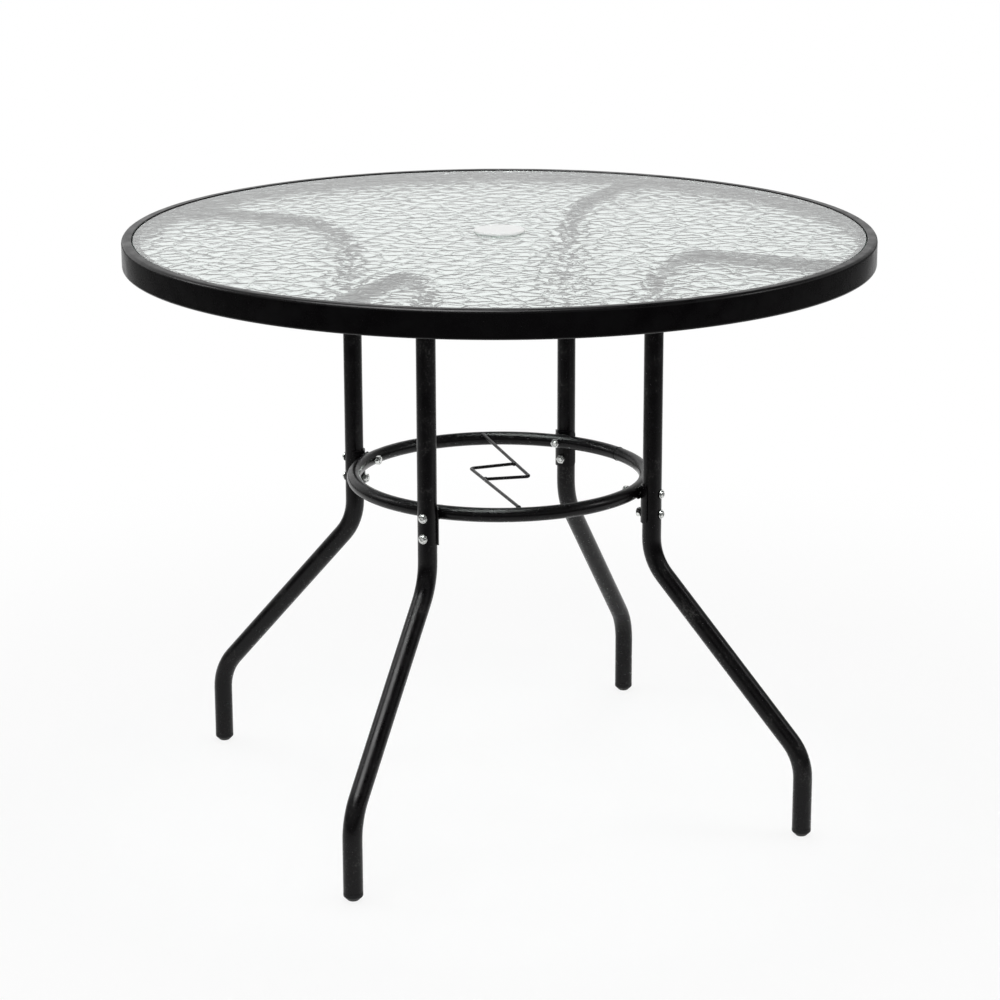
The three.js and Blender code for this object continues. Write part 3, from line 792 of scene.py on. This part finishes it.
def hexagon(bm, width, height=0):
    """A hexagon of edges round the Z axis, of a width across its flats, whose sides are cut to match a circle."""
    sides = circle(bm, hexagon_sides, width / math.sqrt(3), height)
    bmesh.ops.subdivide_edges(bm, edges=sides, cuts=bolt_sides // hexagon_sides - 1)
    return bm.edges[:]


def button_bolt(length):
    """A bolt along Z: a domed head on a seat at zero, with a hexagon socket, and a shank that hangs below."""
    bm = bmesh.new()
    mouth = hexagon(bm, socket_width, head_height)
    crown = circle(bm, bolt_sides, head_flat_radius, head_height)
    bmesh.ops.bridge_loops(bm, edges=mouth + crown)
    bmesh.ops.contextual_create(bm, geom=drawn_out(bm, mouth, (0, 0, -socket_depth)))
    for radius, height in (
        *head_dome, (head_foot_radius, 0), (bolt_radius, 0),
        (bolt_radius, shank_tip - length), (bolt_radius - shank_tip, -length),
    ):
        down = bmesh.ops.extrude_edge_only(bm, edges=crown)["geom"]
        verts = verts_in(down)
        wide = math.hypot(verts[0].co.x, verts[0].co.y)
        bmesh.ops.scale(bm, verts=verts, vec=(radius / wide, radius / wide, 1))
        bmesh.ops.translate(bm, verts=verts, vec=(0, 0, height - verts[0].co.z))
        crown = edges_in(down)
    bmesh.ops.contextual_create(bm, geom=crown)
    bmesh.ops.recalc_face_normals(bm, faces=bm.faces[:])
    return bm


def flat_washer():
    """A washer along Z, whose edge is rounder in front than behind, as punching leaves it."""
    return turned(
        [
            (bolt_hole, 0, washer_hole_round),
            (washer_radius, 0, washer_back_round),
            (washer_radius, washer_thickness, washer_front_round),
            (bolt_hole, washer_thickness, washer_bore_round),
        ],
        washer_steps, arc_steps=2,
    )


def hex_nut():
    """A hexagon nut along Z: its corners are turned down on both faces, and its bore is countersunk."""
    bm = bmesh.new()
    outer = hexagon(bm, nut_width)
    for radius in (nut_face_radius, bolt_hole + countersink, bolt_hole):
        inner = circle(bm, bolt_sides, radius)
        bmesh.ops.bridge_loops(bm, edges=outer + inner)
        outer = inner
    lifted = bmesh.ops.extrude_face_region(bm, geom=bm.faces[:])["geom"]
    bmesh.ops.translate(bm, verts=verts_in(lifted), vec=(0, 0, nut_height))
    for v in bm.verts:
        wide = math.hypot(v.co.x, v.co.y)
        at_bore = wide < bolt_hole + countersink / 2
        sunk = countersink if at_bore else max(0, wide - nut_face_radius) * nut_chamfer_slope
        v.co.z += sunk if v.co.z < nut_height / 2 else -sunk
    bmesh.ops.recalc_face_normals(bm, faces=bm.faces[:])
    return bm


def along_x(bm, x, z, way=1):
    """Lays a piece that was made along Z on its side, pointing out along X, at a distance and a height."""
    turn = Matrix.Rotation(way * math.pi / 2, 4, "Y")
    bmesh.ops.transform(bm, verts=bm.verts[:], matrix=Matrix.Translation((x, 0, z)) @ turn)
    return bm


for place, turn in places.items():
    for level, z in bolt_heights.items():
        bolt = along_x(button_bolt(head_seat - nut_seats[level] + nut_height + bolt_end_reach), head_seat, z)
        piece(f"button_bolt_{level}_{place}", f"leg_bolt_{level}_{place}", bolt, zinc, turn)
        washer = along_x(flat_washer(), washer_seat, z)
        piece(f"washer_{level}_{place}", f"leg_washer_{level}_{place}", washer, zinc, turn)
        nut = along_x(hex_nut(), nut_seats[level], z, -1)
        piece(f"hex_nut_{level}_{place}", f"leg_nut_{level}_{place}", nut, zinc, turn)

# The rim brackets: angles of 2 mm steel, welded inside the rim, on whose shelves the legs' outer ends lie. A bolt
# from below goes through each shelf and leg into a nut inside the tube, which keeps its plain solid in zinc.

bracket_face, bracket_thickness, bracket_width, bracket_reach, bracket_height = 0.42718, 0.002, 0.026, 0.032, 0.020
bracket_round = 0.0004
shelf_top, rim_bolt_x, rim_bolt_length = 0.6782, 0.40988, 0.01107
shelf_bottom = shelf_top - bracket_thickness
wall_top = shelf_bottom + bracket_height

bm = bmesh.new()
profile = [
    bm.verts.new((x, -bracket_width / 2, z))
    for x, z in (
        (bracket_face - bracket_reach, shelf_bottom), (bracket_face, shelf_bottom), (bracket_face, wall_top),
        (bracket_face - bracket_thickness, wall_top), (bracket_face - bracket_thickness, shelf_top),
        (bracket_face - bracket_reach, shelf_top),
    )
]
side = bm.faces.new(profile)
swept = bmesh.ops.extrude_face_region(bm, geom=[side])["geom"]
bmesh.ops.translate(bm, verts=verts_in(swept), vec=(0, bracket_width, 0))
bmesh.ops.bevel(
    bm, geom=bm.edges[:], offset=bracket_round, offset_type="OFFSET", affect="EDGES",
    segments=2, profile=0.5, material=-1,
)
bmesh.ops.recalc_face_normals(bm, faces=bm.faces[:])
for place, turn in places.items():
    piece(f"rim_angle_{place}", f"rim_bracket_{place}", bm, rim_coat, turn)
    bolt = button_bolt(rim_bolt_length)
    bmesh.ops.transform(
        bolt, verts=bolt.verts[:],
        matrix=Matrix.Translation((rim_bolt_x, 0, shelf_bottom - fit_gap)) @ Matrix.Rotation(math.pi, 4, "X"),
    )
    piece(f"rim_button_bolt_{place}", f"rim_bolt_{place}", bolt, zinc, turn)
    nut_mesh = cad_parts[f"rim_nut_{place}"].data
    nut_mesh.materials.clear()
    nut_mesh.materials.append(zinc)
